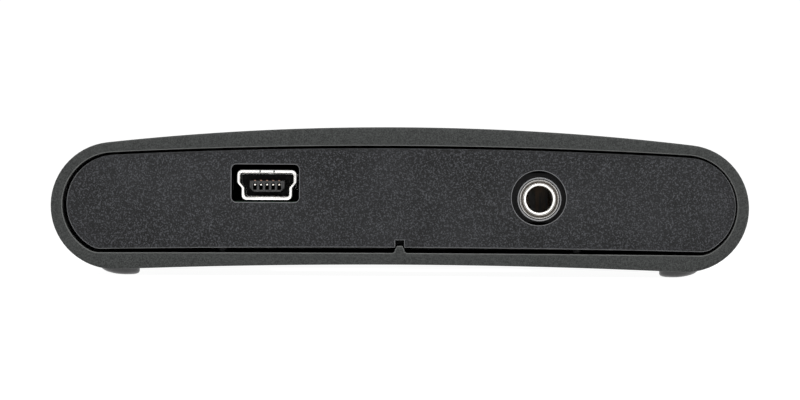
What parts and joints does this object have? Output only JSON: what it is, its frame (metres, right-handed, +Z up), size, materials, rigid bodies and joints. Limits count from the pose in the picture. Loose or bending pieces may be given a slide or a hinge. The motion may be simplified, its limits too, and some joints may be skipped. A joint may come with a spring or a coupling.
{
  "type": "logic analyzer",
  "caption": "Pocket USB logic analyzer: arched one-piece sleeve, recessed end panels, mini-B port, 3.5 mm jack, probe pin header, start button and rubber feet.",
  "frame": {"origin": "the surface that the feet stand on, under the middle of the case", "axes": "+Z up, -Y the rear end with the USB port and the jack, +Y the front end with the probe pins, +X to the right as the rear end is looked at"},
  "size_m": [0.0922, 0.125, 0.0197],
  "materials": {
    "sleeve": "satin, very fine grain",
    "panel": "coarse spark texture",
    "tray": "plain moulded",
    "foot": "matt",
    "screw": "black zinc",
    "label": "fine matt film",
    "button": "satin",
    "connector": "glass-filled, matt",
    "header": "moulded body, gold-plated pins",
    "lens": "clear",
    "led": "plain",
    "shell": "bright tin plate",
    "plated": "nickel plate",
    "contact": "gold flash",
    "board": "solder mask",
    "chip": "moulded epoxy",
    "capacitor": "moulded epoxy"
  },
  "bodies": {
    "case": {"case_sleeve": "sleeve", "rear_panel": "panel", "front_panel": "panel", "chassis_tray": "tray", "foot_rear_left": "foot", "foot_rear_right": "foot", "foot_front_left": "foot", "foot_front_right": "foot", "case_screw_1": "screw", "case_screw_2": "screw", "case_screw_3": "screw", "case_screw_4": "screw", "board_screw_1": "screw", "board_screw_2": "screw", "board_screw_3": "screw", "board_screw_4": "screw", "top_label": "label", "rating_label": "label", "button_switch": "connector", "light_pipe_1": "lens", "light_pipe_2": "lens", "light_pipe_3": "lens", "led_1": "led", "led_2": "led", "led_3": "led", "usb_shell": "shell", "usb_tongue": "connector", "usb_contact_1": "contact", "usb_contact_2": "contact", "usb_contact_3": "contact", "usb_contact_4": "contact", "usb_contact_5": "contact", "jack_barrel": "plated", "jack_housing": "connector", "jack_spring_tip": "plated", "jack_spring_ring": "plated", "jack_spring_sleeve": "plated", "probe_header": "header", "main_board": "board", "gate_array_chip": "chip", "usb_controller_chip": "chip", "memory_chip_1": "chip", "memory_chip_2": "chip", "input_buffer_chip_1": "chip", "input_buffer_chip_2": "chip", "input_buffer_chip_3": "chip", "input_buffer_chip_4": "chip", "configuration_chip": "chip", "regulator_chip": "chip", "power_inductor": "chip", "clock_crystal": "shell", "capacitor_1": "capacitor", "capacitor_2": "capacitor"},
    "button": {"start_button": "button", "switch_plunger": "connector"}
  },
  "joints": [
    {"name": "start_button_press", "type": "slide", "parent": "case", "child": "button", "axis": [0, -1, 0], "range_m": [0, 0.0005], "stiffness_N_per_m": 1500, "springref_m": -0.0005}
  ]
}
